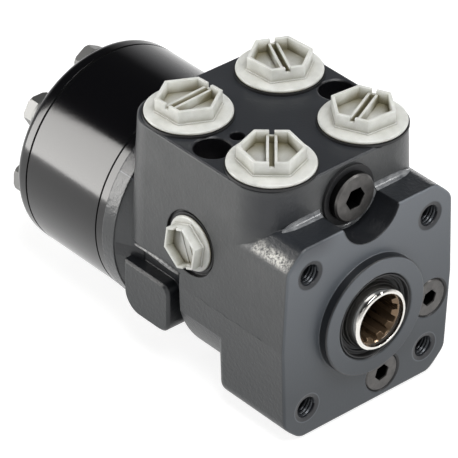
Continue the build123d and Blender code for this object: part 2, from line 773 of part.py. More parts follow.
def suction_ball(x, z):
    """Ball just off its seat; oil flow lifts it towards the plug."""
    seated = SUCTION_SEAT_Y - (SUCTION_BALL_R**2 - SUCTION_SEAT_R**2) ** 0.5
    return Pos(x, seated - 0.1, z) * Sphere(SUCTION_BALL_R)


def check_bush():
    """Screwed-in seat at the foot of the pressure port."""
    x, y, _ = PORTS["right_front"]
    centre = CHECK_STOP_Z + CHECK_BALL_R + CHECK_LIFT
    seat = centre + (CHECK_BALL_R**2 - CHECK_SEAT_R**2) ** 0.5
    bush = rod_z(PORT_CORE_R - 0.05, x, y, seat, PORT_FACE_Z - PORT_BORE_DEPTH)
    return bush - rod_z(CHECK_SEAT_R, x, y, seat - 1, PORT_FACE_Z)


def check_ball():
    x, y, _ = PORTS["right_front"]
    return Pos(x, y, CHECK_STOP_Z + CHECK_BALL_R) * Sphere(CHECK_BALL_R)


def ball_stop():
    """Star-shaped stop under the ball that lets oil past."""
    x, y, _ = PORTS["right_front"]
    stop = rod_z(PORT_CORE_R - 0.05, x, y, PORT_CORE_Z, CHECK_STOP_Z)
    for k in range(4):
        stop -= Pos(x, y, PORT_CORE_Z) * Rot(0, 0, 45 + 90 * k) * Pos(5.6, 0, 0) * Cylinder(1.6, 6)
    return stop


# ---- transport plugs ----------------------------------------------------------------------------
def screw_plug(disc_r, disc_t, across_flats, head_h, shank_r, shank_len):
    """Plug standing on z = 0: flanged disc, hollow hexagon with a screwdriver slot, and shank."""
    wall = 1.5
    disc = Cylinder(disc_r, disc_t, align=(Align.CENTER, Align.CENTER, Align.MIN))
    disc = fillet(disc.faces().sort_by(Axis.Z)[-1].edges(), 0.8)
    head = Pos(0, 0, disc_t) * extrude(hexagon(across_flats), amount=head_h)
    hollow = extrude(hexagon(across_flats - 2 * wall), amount=head_h)
    slot_w = 1.9
    rib_w = 1.1
    ribs = Rectangle(across_flats, slot_w + 2 * rib_w) - Rectangle(across_flats, slot_w)
    keep = Pos(0, 0, disc_t) * extrude(hexagon(across_flats - wall) & ribs, amount=head_h - 1)
    slot = Pos(0, 0, disc_t + head_h) * Box(across_flats + 2, slot_w, 2.8)
    shank = Pos(0, 0, -shank_len) * Cylinder(
        shank_r, shank_len, align=(Align.CENTER, Align.CENTER, Align.MIN)
    )
    shank -= Pos(0, 0, -shank_len) * Cylinder(
        shank_r - 2.2, 2 * shank_len - 5, align=(Align.CENTER, Align.CENTER, Align.CENTER)
    )
    return disc + (head - Pos(0, 0, disc_t) * hollow) + keep - slot + shank


def port_plug(name):
    x, y, turn = PORTS[name]
    plug = screw_plug(PLUG_DISC_R, PLUG_DISC_T, PLUG_HEX_AF, PLUG_HEX_H, PORT_BORE_R - 0.1, 11.0)
    return Pos(x, y, PORT_FACE_Z + GASKET_T) * Rot(0, 0, turn) * plug


def port_gasket(name):
    x, y, _ = PORTS[name]
    top = PORT_FACE_Z + GASKET_T
    gasket = rod_z(PLUG_DISC_R + 0.5, x, y, PORT_FACE_Z, top)
    return gasket - rod_z(PORT_BORE_R + 0.6, x, y, PORT_FACE_Z - 1, top + 1)


def side_plug():
    plug = screw_plug(
        SIDE_PLUG_DISC_R, 1.8, SIDE_PLUG_HEX_AF, SIDE_PLUG_HEX_H, SIDE_BORE_R - 0.1, 9.0
    )
    return Pos(SIDE_FACE_X - 0.8, PORT_MID_Y, SIDE_Z) * Rot(0, -90, 0) * Rot(0, 0, 22) * plug


def side_gasket():
    start = SIDE_FACE_X - 0.8
    gasket = rod_x(SIDE_PLUG_DISC_R, PORT_MID_Y, SIDE_Z, start, SIDE_FACE_X)
    return gasket - rod_x(SIDE_BORE_R + 0.3, PORT_MID_Y, SIDE_Z, start - 1, SIDE_FACE_X + 1)


# ---- assembly -----------------------------------------------------------------------------------
def all_nodes():
    nodes = {
        "housing": housing(),
        "spool": spool(),
        "sleeve": sleeve(),
        "cross_pin": cross_pin(),
        "flat_leaf_springs": flat_leaf_springs(),
        "curved_leaf_springs": curved_leaf_springs(),
        "spring_ring": spring_ring(),
        "cardan_shaft": cardan_shaft(),
        "front_bearing_race": thrust_race(BORE_FRONT, 9.5),
        "rear_bearing_race": thrust_race(11.5, SLEEVE_FRONT),
        "bearing_needles": bearing_needles(),
        "bearing_cage": bearing_cage(),
        "shaft_seal": shaft_seal(),
        "dust_seal": dust_seal(),
        "distributor_plate": distributor_plate(),
        "gear_ring": gear_ring(),
        "gear_rotor": gear_rotor(),
        "spacer": spacer(),
        "end_cover": end_cover(),
        "housing_seal_ring": seal_ring(HOUSING_LEN - 1.5),
        "plate_seal_ring": seal_ring(PLATE_REAR),
        "cover_seal_ring": seal_ring(RING_REAR - 1.5),
        "cover_bolts": [cover_bolt(angle) for angle in LOBE_ANGLES[1:]],
        "pin_bolt": cover_bolt(LOBE_ANGLES[0], pin_tip=True),
        "cover_washers": cover_washers(),
        "relief_plug": relief_plug(),
        "relief_washer": relief_washer(),
        "relief_adjuster": relief_adjuster(),
        "relief_spring": relief_spring(),
        "relief_poppet": relief_poppet(),
        "relief_seat": relief_seat(),
        "shock_adjusters": [shock_adjuster(side) for side in (-1, 1)],
        "left_shock_spring": shock_spring(-1),
        "right_shock_spring": shock_spring(1),
        "left_shock_poppet": shock_poppet(-1),
        "right_shock_poppet": shock_poppet(1),
        "suction_plugs": [suction_plug(x, z) for x, z in SUCTION_PLACES],
        "upper_suction_ball": suction_ball(*SUCTION_PLACES[0]),
        "lower_suction_ball": suction_ball(*SUCTION_PLACES[1]),
        "check_bush": check_bush(),
        "check_ball": check_ball(),
        "check_ball_stop": ball_stop(),
        "side_port_plug": side_plug(),
        "side_port_gasket": side_gasket(),
    }
    for name in PORTS:
        nodes[f"{name}_port_plug"] = port_plug(name)
        nodes[f"{name}_port_gasket"] = port_gasket(name)
    return nodes


def main():
    os.makedirs("parts", exist_ok=True)
    for name, shape in all_nodes().items():
        solids = shape if isinstance(shape, list) else [shape]
        pieces = [solid for item in solids for solid in item.solids()]
        export_step(Compound(children=pieces) if len(pieces) > 1 else pieces[0], f"parts/{name}.step")


main()
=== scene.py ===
"""Looks of the orbital steering unit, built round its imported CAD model.

Lengths are in millimetres, in the frame of the part: +Y runs from the mounting face to the gear
set, +Z out of the port face, +X to the right as seen from the steering column. Colours are linear.
"""

import json
import math

import bmesh
import bpy
from mathutils import Matrix, Vector

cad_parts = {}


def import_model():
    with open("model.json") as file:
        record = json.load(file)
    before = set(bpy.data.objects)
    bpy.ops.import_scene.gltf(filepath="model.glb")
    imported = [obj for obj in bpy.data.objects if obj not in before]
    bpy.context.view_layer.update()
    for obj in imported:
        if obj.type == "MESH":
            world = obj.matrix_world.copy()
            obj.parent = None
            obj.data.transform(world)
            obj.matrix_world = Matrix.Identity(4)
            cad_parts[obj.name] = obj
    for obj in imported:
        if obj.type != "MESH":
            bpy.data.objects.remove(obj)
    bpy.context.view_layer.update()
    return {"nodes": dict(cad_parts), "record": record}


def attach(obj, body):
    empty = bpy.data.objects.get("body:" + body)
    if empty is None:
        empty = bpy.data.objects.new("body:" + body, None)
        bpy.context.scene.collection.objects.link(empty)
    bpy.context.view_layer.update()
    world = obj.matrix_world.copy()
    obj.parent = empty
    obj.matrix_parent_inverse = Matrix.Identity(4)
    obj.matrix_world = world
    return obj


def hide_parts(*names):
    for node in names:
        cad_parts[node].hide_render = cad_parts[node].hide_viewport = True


MM = 0.001
STEPS = 96                      # facets round a turned piece
BIG_STEPS = 160                 # the same round one as wide as the gear set
SEAT_STEPS = 48                 # and round a washer's seat

# housing
FLANGE_HALF = 41.5
DRAFT = math.radians(2.5)
FLANGE_CORNER_R = 52.4
SPIGOT_R = 24.2
SPIGOT_H = 4.0
MID_REAR = 57.0
WAIST_R = 37.4
REAR_FLANGE_T = 6.6
HOUSING_LEN = 99.4
WAIST_END = HOUSING_LEN - REAR_FLANGE_T
SHADE_TOP_Z = 44                    # painted shade darkens the walls from this height
SHADE_BOTTOM_Z = -24                    # down to this one, where the painted shade is darkest
SATIN = 0.38                    # roughness of the paint

# port block
PORT_FACE_Z = 57.8
PORT_FRONT = 14.0
PORT_X = 22.1
PORT_MID_Y = 52.0
PORT_DY = 22.6
PORTS = {                       # x, y and the turn of the plug's slot in degrees
    "left_front": (-PORT_X, PORT_MID_Y - PORT_DY, 48.4),
    "right_front": (PORT_X, PORT_MID_Y - PORT_DY, 25.2),
    "left_rear": (-PORT_X, PORT_MID_Y + PORT_DY, 2.7),
    "right_rear": (PORT_X, PORT_MID_Y + PORT_DY, 64.0),
}
SHOCK_X = 30.2
SHOCK_BORE_R = 7.0
SMALL_HOLE_X = -18.4
SMALL_HOLE_R = 2.9
SIDE_Z = 20.8
SIDE_FACE_X = -39.0             # bottom of its counterbore
SIDE_COUNTERBORE_R = 13.0
SIDE_GASKET_T = 0.8

# holes and plugs in the mounting face
BOLT_CIRCLE_R = 41.25
HOLE_OFFSET = BOLT_CIRCLE_R * math.cos(math.pi / 4)
HOLES = [(x, z) for x in (-HOLE_OFFSET, HOLE_OFFSET) for z in (-HOLE_OFFSET, HOLE_OFFSET)]
M10_R = 4.25
M10_MOUTH_R = 6.0
M10_PITCH = 1.5
SUCTION_R = 32.1
SUCTION_SPREAD = math.radians(30.4)
SUCTION_PLACES = [(SUCTION_R * math.cos(a), SUCTION_R * math.sin(a))
                  for a in (-math.pi / 4 - SUCTION_SPREAD, -math.pi / 4 + SUCTION_SPREAD)]
SUCTION_PLUG_R = 7.7
SUCTION_SOCKET_R = 3.6
SHADOW_SHIFT = 0.4                 # the painted shadow round a suction plug is wider on its right
SCALLOP_R = 13.8
RELIEF_Z = 44.8
RELIEF_HEAD_Y = 8.8
RELIEF_HEAD_R = 9.7
RELIEF_SOCKET_R = 4.7

# shaft end
SPOOL_BORE_R = 10.9
GREASE_Y = (-6.2, -4.6)         # the bore is bright in front of this and greasy behind it

# metering gear set
PLATE_T = 4.2
GEAR_WIDTH = 41.4
GEAR_R = 42.6
RING_REAR = HOUSING_LEN + PLATE_T + GEAR_WIDTH
COVER_T = 8.0
COVER_RIM_R = 3.7
COVER_WASHER_R = 7.6
SEAT_H = 1.0                    # how far the washers' seats stand above the rest of the cover
SEAT_EDGE = 0.9
LOBES = 7
LOBE_START = 90.0
LOBE_CENTRE_R = 31.5
SEAM_HALF = 0.33
SEAM_PROUD = 0.03
SEAM_DEPTH = 0.6

# transport plugs
GASKET_T = 1.0
PLUG_DISC_R = 16.5
PLUG_DISC_T = 1.9
PLUG_HEX_AF = 22.0
PLUG_HEX_H = 5.5
PLUG_WALL = 1.3
PLUG_RIB_H = 4.1
PLUG_SHANK_R = 10.4
SIDE_DISC_R = 11.0
SIDE_DISC_T = 1.8
SIDE_HEX_AF = 16.0
SIDE_HEX_H = 4.2
SIDE_WALL = 0.95
SIDE_RIB_H = 0.8
SIDE_SHANK_R = 6.5
SIDE_TURN = 22.0
SLOT_W = 1.9
SLOT_DEPTH = 2.0                # of the notches in the hexagon's wall
RIB_W = 1.1
SHANK_LEN = 8.0
PLINTH_MARGIN = 0.9
PLUG_EDGE = 0.22                # bevel on every edge of a plug

# camera: where it stands from its target, in radians and millimetres
AZIMUTH = math.radians(-41.49)
ELEVATION = math.radians(34.23)
ROLL = math.radians(0.67)
DISTANCE = 1372.0
TARGET = Vector((-27.1, 46.1, 24.3))
VIEW_ANGLE = math.radians(6.914)

# stage
FLOOR_Z = -43.0
FLOOR_R = 5000.0
FLOOR_GREY = 0.42
FLOOR_GLOW = 0.78
# height and colour of the sky, the two ends first
SKY = ((0.0, (0.9, 0.9, 0.9)), (1.0, (0.02, 0.02, 0.022)), (0.22, (0.6, 0.6, 0.612)),
       (0.5, (0.04, 0.04, 0.0408)))
LIT_POINT = Vector((0, 60, 5))
# name, degrees from +X towards +Y, degrees up, distance, width, height, radiance, tint
LAMPS = (
    ("left rear screen", 136, 13, 620, 190, 520, 9.5, (1.0, 0.985, 0.96)),
    ("front top", -105, 66, 1200, 700, 700, 8.0, (1, 1, 1)),
    ("left front", -150, 34, 1300, 500, 600, 1.6, (1, 1, 1)),
    ("right rear", 33, 5, 1100, 260, 170, 6.0, (1, 1, 1)),
    ("front low", -88, 18, 1400, 500, 400, 2.2, (1, 1, 1)),
    ("front glint", -46, 38, 1200, 240, 240, 18.0, (1, 1, 1)),
)


# ---- materials ----------------------------------------------------------------------------------
class Shader:
    """A Principled material under construction; places are those of the part at rest."""

    def __init__(self, name, color, roughness, metallic=0.0):
        self.material = bpy.data.materials.new(name)
        self.material.use_nodes = True
        self.nodes = self.material.node_tree.nodes
        self.links = self.material.node_tree.links
        self.surface = self.nodes["Principled BSDF"]
        self.surface.inputs["Base Color"].default_value = (*color, 1)
        self.surface.inputs["Roughness"].default_value = roughness
        self.surface.inputs["Metallic"].default_value = metallic
        self.place = self.nodes.new("ShaderNodeTexCoord").outputs["Object"]
        self.normal = None

    def set(self, name, value):
        self.surface.inputs[name].default_value = value

    def feed(self, name, output):
        self.links.new(output, self.surface.inputs[name])

    def noise(self, size, detail, seed):
        """Noise whose lumps are about size millimetres across, from 0 to 1."""
        node = self.nodes.new("ShaderNodeTexNoise")
        node.noise_dimensions = "4D"
        node.inputs["W"].default_value = seed
        node.inputs["Scale"].default_value = 1 / (size * MM)
        node.inputs["Detail"].default_value = detail
        self.links.new(self.place, node.inputs["Vector"])
        return node.outputs["Fac"]

    def spread(self, value, low, high, to_low=0.0, to_high=1.0):
        """Runs from to_low to to_high while value runs from low to high, and stays there beyond."""
        node = self.nodes.new("ShaderNodeMapRange")
        node.inputs["From Min"].default_value = low
        node.inputs["From Max"].default_value = high
        node.inputs["To Min"].default_value = to_low
        node.inputs["To Max"].default_value = to_high
        self.links.new(value, node.inputs["Value"])
        return node.outputs["Result"]

    def math(self, operation, first, second):
        """Node arithmetic; each operand is a float or an output."""
        node = self.nodes.new("ShaderNodeMath")
        node.operation = operation
        for socket, value in zip(node.inputs, (first, second)):
            if isinstance(value, float):
                socket.default_value = value
            else:
                self.links.new(value, socket)
        return node.outputs["Value"]

    def axis(self, name, output="Object"):
        """The X, Y or Z part of the place, or of the normal."""
        node = self.nodes.new("ShaderNodeSeparateXYZ")
        coordinates = self.nodes.new("ShaderNodeTexCoord")
        self.links.new(coordinates.outputs[output], node.inputs["Vector"])
        return node.outputs[name]

    def between(self, name, low, high, soft):
        """1 where the coordinate lies between low and high millimetres, 0 beyond the soft edge."""
        place = self.axis(name)
        over = self.spread(place, (low - soft) * MM, low * MM)
        under = self.spread(place, high * MM, (high + soft) * MM, 1.0, 0.0)
        return self.math("MULTIPLY", over, under)

    def box(self, x, y, z, soft):
        """1 inside a box given by its three ranges."""
        inside = self.math("MULTIPLY", self.between("X", *x, soft), self.between("Y", *y, soft))
        return self.math("MULTIPLY", inside, self.between("Z", *z, soft))

    def near_line(self, along, point, radius, soft):
        """1 within radius millimetres of the line through point along an axis."""
        keep = {"X": (0, 1, 1), "Y": (1, 0, 1), "Z": (1, 1, 0)}[along]
        offset = self.nodes.new("ShaderNodeVectorMath")
        offset.operation = "SUBTRACT"
        offset.inputs[1].default_value = Vector(point) * MM
        flat = self.nodes.new("ShaderNodeVectorMath")
        flat.operation = "MULTIPLY"
        flat.inputs[1].default_value = keep
        length = self.nodes.new("ShaderNodeVectorMath")
        length.operation = "LENGTH"
        self.links.new(self.place, offset.inputs[0])
        self.links.new(offset.outputs["Vector"], flat.inputs[0])
        self.links.new(flat.outputs["Vector"], length.inputs[0])
        return self.spread(length.outputs["Value"], radius * MM, (radius + soft) * MM, 1.0, 0.0)

    def drum(self, along, point, radius, soft, reach, end_soft):
        """1 inside a cylinder along an axis, over its reach on that axis."""
        return self.math("MULTIPLY", self.near_line(along, point, radius, soft),
                         self.between(along, *reach, end_soft))

    def blend(self, factor, first, second):
        """Runs from first to second with factor; each of them is a colour or an output."""
        node = self.nodes.new("ShaderNodeMix")
        node.data_type = "RGBA"
        self.links.new(factor, node.inputs["Factor"])
        for slot, value in (("A", first), ("B", second)):
            target = [s for s in node.inputs if s.name == slot and s.type == "RGBA"][0]
            if isinstance(value, tuple):
                target.default_value = (*value, 1)
            else:
                self.links.new(value, target)
        return [s for s in node.outputs if s.type == "RGBA"][0]

    def tinted(self, base, tints):
        """Lays each tint over base where its mask is 1; a later tint covers an earlier one."""
        for mask, color in tints:
            base = self.blend(mask, base, color)
        return base

    def bump(self, height, depth):
        """Adds a bump of depth millimetres on top of the ones already there."""
        node = self.nodes.new("ShaderNodeBump")
        node.inputs["Strength"].default_value = 1.0
        node.inputs["Distance"].default_value = depth * MM
        self.links.new(height, node.inputs["Height"])
        if self.normal:
            self.links.new(self.normal, node.inputs["Normal"])
        self.normal = node.outputs["Normal"]
        self.feed("Normal", self.normal)

    def soften(self, radius):
        """Rounds the look of sharp edges and inner corners; comes before any bump."""
        node = self.nodes.new("ShaderNodeBevel")
        node.samples = 6
        node.inputs["Radius"].default_value = radius * MM
        self.normal = node.outputs["Normal"]
        self.feed("Normal", self.normal)


def face_and_painted_shade_tints(paint, front, top):
    """Painted shade on walls darker towards the bottom and on faces that look up, the port face too; the
    paler mounting face, also darker towards its bottom as painted shade.
    """
    # painted shade, darker towards the bottom
    low = paint.spread(paint.axis("Z"), SHADE_BOTTOM_Z * MM, SHADE_TOP_Z * MM, 1.0, 0.0)
    # painted shade on faces that look up
    facing_up = paint.spread(paint.axis("Z", "Normal"), 0.55, 0.95)
    face = paint.blend(low, (0.120, 0.132, 0.147), (0.030, 0.036, 0.043))
    return [
        (low, (0.008, 0.0105, 0.0125)),
        (facing_up, (0.016, 0.018, 0.021)),
        (front, face),
        # painted shade on the port face
        (top, (0.022, 0.024, 0.028)),
    ]


def painted_shade_tints(paint):
    """Painted shade on the scallop, the spigot's side, the waist, round the side pad and in the left
    inner corner.
    """
    left = (-42.6, -30)
    pad_front = 57.4
    scallop = paint.drum("Y", (0, 0, RELIEF_Z), SCALLOP_R + 0.1, 0.4, (-2, PORT_FRONT - 1.0), 0.3)
    spigot = paint.drum("Y", (0, 0, 0), SPIGOT_R + 1.8, 0.4, (-SPIGOT_H + 0.3, -0.25), 0.2)
    waist = paint.drum("Y", (0, 0, 0), WAIST_R + 1.2, 1.0, (MID_REAR + 0.5, WAIST_END - 0.6), 0.6)
    beside_pad = paint.box(left, (pad_front, 61.6), (-27, 1.0), 0.5)
    over_pad = paint.box(left, (pad_front, 92), (-4.2, 1.0), 0.5)
    corner = paint.box((-60, -24), (0, 19), (42.5, 54), 9.0)
    # each tint below is painted shade
    return [
        (scallop, (0.008, 0.009, 0.011)),
        (spigot, (0.005, 0.006, 0.008)),
        (waist, (0.014, 0.016, 0.020)),
        (paint.math("MAXIMUM", beside_pad, over_pad), (0.006, 0.007, 0.009)),
        (paint.math("MULTIPLY", corner, 0.75), (0.012, 0.014, 0.018)),
    ]


def hole_tints(paint):
    """Pale countersinks with painted shade in the holes and wells, and painted shadow in the gaps round
    plugs and adjusters.
    """
    tints = []
    for x, z in HOLES:
        rim = paint.near_line("Y", (x, 0, z), M10_MOUTH_R + 0.1, 0.15)
        mouth = paint.near_line("Y", (x, 0, z), M10_MOUTH_R - 0.4, 0.4)
        # painted shade inside each mounting hole
        tints += [(rim, (0.085, 0.094, 0.106)), (mouth, (0.012, 0.013, 0.016))]
    for x, z in SUCTION_PLACES:
        # painted shadow round each suction plug, off centre as a shadow falls
        gap = paint.drum("Y", (x + SHADOW_SHIFT, 0, z), SUCTION_PLUG_R + 0.55, 0.12, (-0.5, 3.0), 0.2)
        tints.append((gap, (0.004, 0.004, 0.005)))
    for x in (-SHOCK_X, SHOCK_X):
        well = paint.drum("Z", (x, PORT_MID_Y, 0), SHOCK_BORE_R + 0.3, 0.2,
                          (30, PORT_FACE_Z - 0.4), 0.2)
        # painted shade in the shock valves' wells
        tints.append((well, (0.002, 0.002, 0.003)))
    # painted shadow in the counterbore round the side plug
    side_plug_shadow = paint.drum("X", (0, PORT_MID_Y, SIDE_Z), SIDE_COUNTERBORE_R + 0.1, 0.2,
                          (-60, -34), 0.5)
    # painted shade in the small hole
    small_hole = paint.drum("Z", (SMALL_HOLE_X, PORT_MID_Y, 0), SMALL_HOLE_R + 0.25, 0.2,
                            (30, PORT_FACE_Z - 0.2), 0.2)
    return tints + [(side_plug_shadow, (0.004, 0.004, 0.005)), (small_hole, (0.003, 0.003, 0.004))]


def ground_patch(paint):
    """Mask of the ragged patch near the top of the flange's left edge, ground bare."""
    patch = paint.box((-60, -36.5), (2.2, 19.0), (35.2, 36.9), 1.7)
    ragged = paint.spread(paint.noise(3.0, 4, 17), 0.3, 0.55)
    worn = paint.spread(paint.noise(0.8, 6, 4), 0.36, 0.60)
    return paint.math("MULTIPLY", paint.math("MULTIPLY", patch, ragged), worn)


def housing_paint():
    """Satin slate-grey paint over cast iron, smoother on the two machined faces."""
    paint = Shader("housing paint", (0.06, 0.063, 0.066), SATIN)
    paint.soften(0.7)
    cloud = paint.spread(paint.noise(9, 4, 1), 0.35, 0.7)
    walls = paint.blend(cloud, (0.053, 0.055, 0.056), (0.067, 0.069, 0.070))
    front = paint.between("Y", -6, 0.4, 0.5)
    top = paint.between("Z", PORT_FACE_Z - 0.3, PORT_FACE_Z + 3, 0.3)
    # the tints include painted shade and painted shadow
    tints = face_and_painted_shade_tints(paint, front, top) + painted_shade_tints(paint) + hole_tints(paint)
    tints.append((ground_patch(paint), (0.55, 0.54, 0.50)))
    paint.feed("Base Color", paint.tinted(walls, tints))
    glossy_rear = paint.spread(paint.axis("Y"), 92.0 * MM, 93.0 * MM, SATIN, 0.24)
    paint.feed("Roughness", glossy_rear)
    cast = paint.math("SUBTRACT", 1.0, paint.math("MAXIMUM", front, top))
    paint.bump(paint.math("MULTIPLY", paint.noise(1.3, 4, 2), cast), 0.16)
    paint.bump(paint.noise(0.7, 3, 3), 0.035)
    return paint.material


def worn_paint_and_highlight():
    """Paint rubbed through on a raised edge; its pale colour is also a painted highlight."""
    paint = Shader("worn paint with painted highlight", (0.16, 0.163, 0.165), 0.34)
    rubbed = paint.spread(paint.noise(1.6, 5, 13), 0.35, 0.65)
    # pale rubbed paint, partly real wear and partly a painted highlight
    paint.feed("Base Color", paint.blend(rubbed, (0.08, 0.083, 0.086), (0.27, 0.27, 0.265)))
    paint.bump(paint.noise(0.9, 3, 14), 0.08)
    return paint.material


def fillet_highlight_paint():
    """Glossy paint on the cast fillets, made lighter as a painted highlight along the inner corners."""
    paint = Shader("fillet paint with painted highlight", (0.15, 0.155, 0.16), 0.22)
    thin = paint.spread(paint.noise(3.0, 4, 15), 0.35, 0.65)
    # the lighter colour is a painted highlight
    paint.feed("Base Color", paint.blend(thin, (0.08, 0.084, 0.09), (0.21, 0.215, 0.22)))
    paint.bump(paint.noise(1.1, 3, 16), 0.05)
    return paint.material


def gear_paint():
    paint = Shader("black gloss paint", (0.002, 0.002, 0.0025), 0.13)
    paint.soften(0.35)
    paint.bump(paint.noise(2.5, 3, 5), 0.012)
    return paint.material


def steel(name, color, roughness, edge=0.25, grain=0.4, depth=0.012):
    """Bare or plated metal with a fine grain; sizes in millimetres."""
    metal = Shader(name, color, roughness, 1.0)
    metal.soften(edge)
    metal.bump(metal.noise(grain, 3, 6), depth)
    return metal.material


def shaft_steel():
    """Bright ground outside; the spline inside is brownish with old grease."""
    bright = (0.72, 0.70, 0.66)
    metal = Shader("shaft steel", bright, 0.08, 1.0)
    metal.soften(0.3)
    inside = metal.spread(metal.axis("Y"), GREASE_Y[0] * MM, GREASE_Y[1] * MM)
    bore = metal.near_line("Y", (0, 0, 0), SPOOL_BORE_R, 0.3)
    greasy = metal.math("MULTIPLY", inside, bore)
    metal.feed("Base Color", metal.blend(greasy, bright, (0.17, 0.115, 0.07)))
    metal.feed("Metallic", metal.spread(greasy, 0.0, 1.0, 1.0, 0.7))
    return metal.material


def dark_steel():
    """Black oxide, with painted shade in the hexagon sockets and on the side of the relief plug's head.
    """
    metal = Shader("black oxide steel", (0.10, 0.097, 0.093), 0.36, 0.75)
    metal.soften(0.35)
    cloud = metal.spread(metal.noise(3, 3, 8), 0.35, 0.7)
    tone = metal.blend(cloud, (0.075, 0.072, 0.07), (0.12, 0.115, 0.11))
    dark = metal.drum("Y", (0, 0, RELIEF_Z), RELIEF_SOCKET_R, 0.1, (RELIEF_HEAD_Y + 0.6, 30), 0.2)
    for x, z in SUCTION_PLACES:
        socket = metal.drum("Y", (x, 0, z), SUCTION_SOCKET_R, 0.1, (1.0, 9), 0.3)
        dark = metal.math("MAXIMUM", dark, socket)
    head = metal.near_line("Y", (0, 0, RELIEF_Z), RELIEF_HEAD_R - 0.15, 0.1)
    head_side = metal.math("SUBTRACT", 1.0, head)
    head_side = metal.math("MULTIPLY", head_side, metal.between("Y", RELIEF_HEAD_Y + 0.7, 13, 0.1))
    head_side = metal.math("MULTIPLY", head_side, metal.between("Z", 30, PORT_FACE_Z + 1, 0.1))
    dark = metal.math("MAXIMUM", dark, head_side)
    # the black here is painted shade
    metal.feed("Base Color", metal.blend(dark, tone, (0.004, 0.004, 0.004)))
    metal.bump(metal.noise(0.6, 3, 9), 0.02)
    return metal.material


def plug_plastic():
    """Pale, slightly cloudy polyethylene, with olive painted shade in the deep corners."""
    plastic = Shader("pale plug plastic", (0.69, 0.69, 0.64), 0.3)
    plastic.set("Subsurface Weight", 0.3)
    plastic.set("Subsurface Scale", 5 * MM)
    plastic.set("Subsurface Radius", (1.0, 1.0, 0.9))
    shade = plastic.nodes.new("ShaderNodeAmbientOcclusion")
    shade.samples = 8
    shade.inputs["Distance"].default_value = 7 * MM
    open_air = plastic.spread(shade.outputs["AO"], 0.25, 0.8)
    cloud = plastic.spread(plastic.noise(4.5, 4, 12), 0.3, 0.7)
    clear = plastic.blend(cloud, (0.52, 0.525, 0.49), (0.66, 0.665, 0.63))
    # painted shade: olive darkening where ambient occlusion finds deep corners
    plastic.feed("Base Color", plastic.blend(open_air, (0.19, 0.17, 0.10), clear))
    plastic.bump(plastic.noise(2.5, 2, 10), 0.03)
    return plastic.material


def rubber():
    black = Shader("black rubber", (0.008, 0.008, 0.009), 0.5)
    black.soften(0.2)
    return black.material


def seam_dark():
    """The unlit gap of a joint."""
    gap = Shader("joint gap", (0.004, 0.004, 0.004), 1.0)
    gap.set("Specular IOR Level", 0.0)
    gap.bump(gap.noise(1.0, 2, 18), 0.01)
    return gap.material


def machined_iron():
    iron = Shader("cut thread", (0.05, 0.054, 0.06), 0.3, 0.6)
    iron.bump(iron.noise(0.5, 3, 11), 0.03)
    return iron.material


def floor_white():
    """Grey floor that glows for the camera and in reflections, so that it reads as white there."""
    floor = Shader("white floor", (FLOOR_GREY, FLOOR_GREY, FLOOR_GREY), 0.9)
    floor.set("Specular IOR Level", 0.0)
    path = floor.nodes.new("ShaderNodeLightPath")
    seen = floor.math("MAXIMUM", path.outputs["Is Camera Ray"], path.outputs["Is Glossy Ray"])
    seen = floor.math("MAXIMUM", seen, path.outputs["Is Transmission Ray"])
    glow = floor.nodes.new("ShaderNodeEmission")
    glow.inputs["Color"].default_value = (1, 1, 1, 1)
    floor.links.new(floor.math("MULTIPLY", seen, FLOOR_GLOW), glow.inputs["Strength"])
    total = floor.nodes.new("ShaderNodeAddShader")
    floor.links.new(floor.surface.outputs[0], total.inputs[0])
    floor.links.new(glow.outputs[0], total.inputs[1])
    floor.links.new(total.outputs[0], floor.nodes["Material Output"].inputs["Surface"])
    return floor.material


# ---- shapes -------------------------------------------------------------------------------------
def placed(origin, across, outward):
    """Matrix of a local frame: z points outward, x across."""
    z = Vector(outward)
    x = Vector(across)
    turn = Matrix((x, z.cross(x), z)).transposed().to_4x4()
    return Matrix.Translation(Vector(origin)) @ turn


def front_frame(x, z):
    """Local z comes out of the mounting face; local x and y are +X and +Z."""
    return placed((x, 0, z), (1, 0, 0), (0, -1, 0))


def rear_frame(y, x=0, z=0):
    """Local z points to the rear, from the plane at y."""
    return placed((x, y, z), (1, 0, 0), (0, 1, 0))


def lathe(profile, steps=STEPS):
    """Closed (radius, height) outline turned about local z; points on the axis become poles."""
    verts = []
    faces = []
    rings = []
    for r, h in profile:
        start = len(verts)
        count = 1 if r < 1e-6 else steps
        for k in range(count):
            a = 2 * math.pi * k / steps
            verts.append((r * math.cos(a), r * math.sin(a), h))
        rings.append([start + k % count for k in range(steps + 1)])
    for low, high in zip(rings, rings[1:] + rings[:1]):
        for k in range(steps):
            corner = [low[k], low[k + 1], high[k + 1], high[k]]
            face = list(dict.fromkeys(corner))
            if len(face) > 2:
                faces.append(face)
    return verts, faces


def prism(outline, low, high):
    """Outline in local x and y, raised from low to high along local z."""
    count = len(outline)
    verts = [(x, y, low) for x, y in outline] + [(x, y, high) for x, y in outline]
    faces = [list(range(count))[::-1], list(range(count, 2 * count))]
    for k in range(count):
        n = (k + 1) % count
        faces.append([k, n, count + n, count + k])
    return verts, faces


def swept(sections):
    """Skin over a row of equal closed sections, with end caps."""
    count = len(sections[0])
    rows = len(sections)
    verts = [point for section in sections for point in section]
    faces = []
    for row in range(rows - 1):
        here = row * count
        after = here + count
        for k in range(count):
            n = (k + 1) % count
            faces.append([here + k, here + n, after + n, after + k])
    faces.append(list(range(count))[::-1])
    faces.append([(rows - 1) * count + k for k in range(count)])
    return verts, faces


def hexagon(across_flats):
    """Regular hexagon with its first corner at 30 degrees."""
    r = across_flats / math.sqrt(3)
    angles = [math.radians(60 * k + 30) for k in range(6)]
    return [(r * math.cos(a), r * math.sin(a)) for a in angles]


def rectangle(width, depth):
    x = width / 2
    y = depth / 2
    return [(-x, -y), (x, -y), (x, y), (-x, y)]


